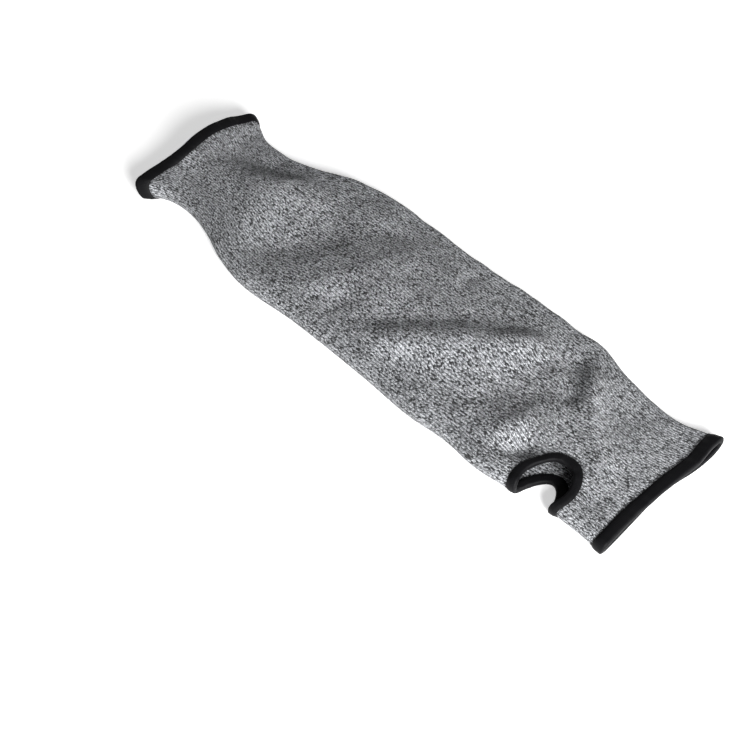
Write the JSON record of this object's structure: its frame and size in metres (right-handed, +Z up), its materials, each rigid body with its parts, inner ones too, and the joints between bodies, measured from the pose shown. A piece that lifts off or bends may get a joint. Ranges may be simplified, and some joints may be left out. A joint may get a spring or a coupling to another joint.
{
  "type": "cut resistant sleeve",
  "caption": "Tubular knitted forearm guard, open at both ends, with a thumb hole and bound edges, lying flat with its hollow kept open.",
  "frame": {"origin": "middle of the sleeve's box, on the surface that it lies on", "axes": "+X along the sleeve to the hand opening, -Y to the folded edge with the thumb hole, +Z up"},
  "size_m": [0.4, 0.1204, 0.0183],
  "materials": {
    "knit": "melange grey plain knit, matt",
    "binding_tape": "black folded elastic tape, soft sheen"
  },
  "bodies": {
    "root": {"sleeve_body": "knit", "arm_opening_binding": "binding_tape", "hand_opening_binding": "binding_tape", "thumb_hole_binding": "binding_tape"}
  },
  "joints": []
}
